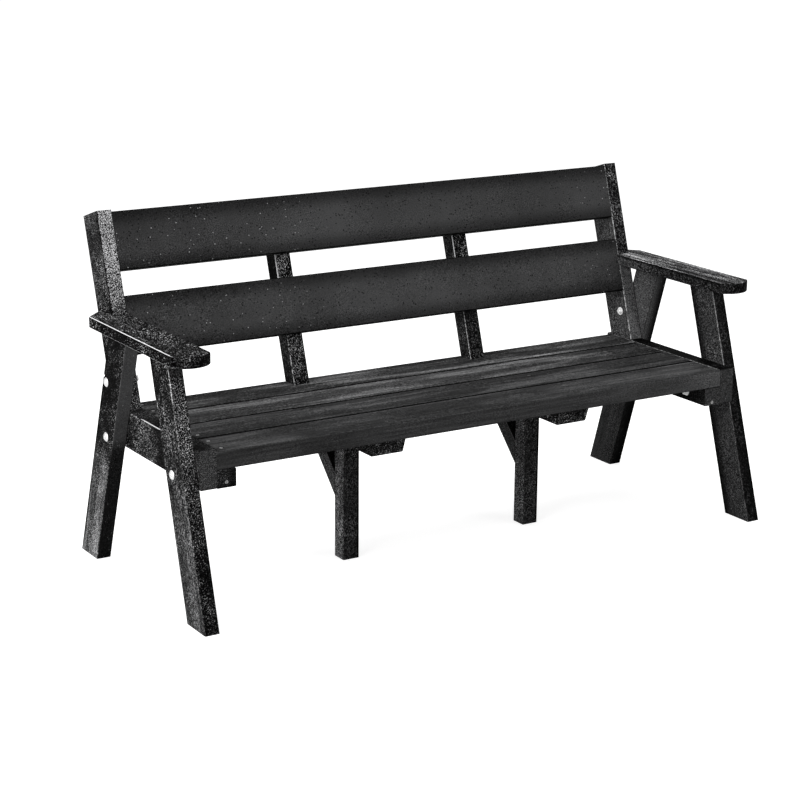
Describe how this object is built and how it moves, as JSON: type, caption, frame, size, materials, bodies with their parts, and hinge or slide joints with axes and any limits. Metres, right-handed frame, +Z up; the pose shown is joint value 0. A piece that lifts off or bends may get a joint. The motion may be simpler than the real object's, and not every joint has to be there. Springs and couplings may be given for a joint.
{
  "type": "convertible picnic table bench",
  "caption": "Black plastic-lumber garden bench with slatted leaning back and flat armrests; the back lifts out of the armrest notches to be laid flat on them as a half picnic table.",
  "frame": {"origin": "middle of the bench's box on the floor", "axes": "+X along the bench, to the right of someone who looks at its front; +Y towards the back; +Z up"},
  "size_m": [1.709, 0.7272, 0.8936],
  "materials": {
    "seat_lumber": "dull, brushed lengthwise",
    "back_lumber": "dull with fine pale specks",
    "armrest_lumber": "dull, granular",
    "frame_lumber": "dull, granular",
    "bolt_steel": "bright, domed heads",
    "screw_steel": "black coated"
  },
  "bodies": {
    "frame": {"left_front_leg": "frame_lumber", "right_front_leg": "frame_lumber", "left_rear_leg": "frame_lumber", "right_rear_leg": "frame_lumber", "left_seat_rail": "frame_lumber", "right_seat_rail": "frame_lumber", "left_seat_cleat": "frame_lumber", "right_seat_cleat": "frame_lumber", "left_seat_batten": "frame_lumber", "right_seat_batten": "frame_lumber", "left_middle_leg": "frame_lumber", "right_middle_leg": "frame_lumber", "left_middle_brace": "frame_lumber", "right_middle_brace": "frame_lumber", "left_armrest": "armrest_lumber", "right_armrest": "armrest_lumber", "seat_plank_1": "seat_lumber", "seat_plank_2": "seat_lumber", "seat_plank_3": "seat_lumber", "seat_plank_4": "seat_lumber", "rail_bolts": "bolt_steel", "rail_bolt_washers": "bolt_steel", "rail_bolt_nuts": "bolt_steel", "armrest_screws": "screw_steel", "plank_end_screws": "screw_steel", "plank_batten_screws": "screw_steel", "cleat_screws": "bolt_steel", "middle_leg_screws": "screw_steel", "brace_screws": "screw_steel"},
    "back": {"left_back_post": "back_lumber", "right_back_post": "back_lumber", "back_slat_lower": "back_lumber", "back_slat_upper": "back_lumber", "left_back_stile": "back_lumber", "right_back_stile": "back_lumber", "back_bolts": "bolt_steel", "back_bolt_washers": "bolt_steel", "back_bolt_nuts": "bolt_steel", "slat_end_screws": "screw_steel", "stile_screws": "screw_steel"}
  },
  "joints": [
    {"name": "back_lift_out", "type": "slide", "parent": "frame", "child": "back", "axis": [0, 0.7071, 0.7071], "range_m": [0, 0.2]}
  ]
}
